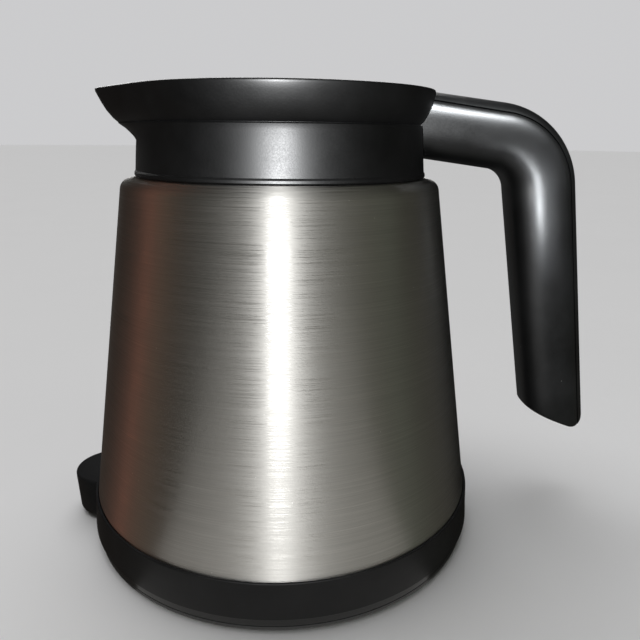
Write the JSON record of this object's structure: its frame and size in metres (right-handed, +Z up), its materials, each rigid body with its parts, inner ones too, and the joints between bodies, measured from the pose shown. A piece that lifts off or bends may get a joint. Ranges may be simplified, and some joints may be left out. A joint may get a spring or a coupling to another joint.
{
  "type": "insulated serving carafe",
  "caption": "Insulated steel carafe with a tapered brushed shell, flared pouring collar, docking base, open-ended handle and a recessed lift-out lid with a pouring dial.",
  "frame": {"origin": "on the flask's axis, at the underside of the foot pad, where the carafe meets the table", "axes": "+Z up along the flask's axis, +X towards the handle, -X towards the spout and the docking lug"},
  "size_m": [0.1994, 0.1436, 0.1568],
  "materials": {
    "shell_steel": "brushed round the body, satin",
    "flask_steel": "electropolished, faint turning marks",
    "black_plastic": "satin moulded, fine grain",
    "lid_plastic": "satin moulded",
    "foot_rubber": "matt",
    "silicone": "translucent grey, matt",
    "fastener_steel": "zinc plated"
  },
  "bodies": {
    "jug": {"outer_shell": "shell_steel", "inner_flask": "flask_steel", "shell_bottom": "flask_steel", "seal_cap": "flask_steel", "getter_cup": "flask_steel", "base_cup": "black_plastic", "foot_pad": "foot_rubber", "pour_collar": "black_plastic", "neck_gasket": "silicone", "collar_lock_ring": "lid_plastic", "handle_grip": "black_plastic", "handle_spine": "black_plastic", "handle_bracket": "fastener_steel", "handle_screw_1": "fastener_steel", "handle_screw_2": "fastener_steel"},
    "lid": {"lid_stopper": "lid_plastic", "lid_gasket": "silicone", "valve_cage": "lid_plastic"},
    "dial": {"lid_dial": "lid_plastic", "dial_shutter": "lid_plastic", "dial_retainer": "fastener_steel"},
    "float": {"valve_float": "silicone"}
  },
  "joints": [
    {"name": "lid_lift", "type": "slide", "parent": "jug", "child": "lid", "axis": [0, 0, 1], "range_m": [0, 0.05]},
    {"name": "dial_turn", "type": "hinge", "parent": "lid", "child": "dial", "pos_m": [0, 0, 0.1531], "axis": [0, 0, 1], "range_deg": [0, 75]},
    {"name": "float_rise", "type": "slide", "parent": "lid", "child": "float", "axis": [0, 0, 1], "range_m": [0, 0.003]}
  ]
}
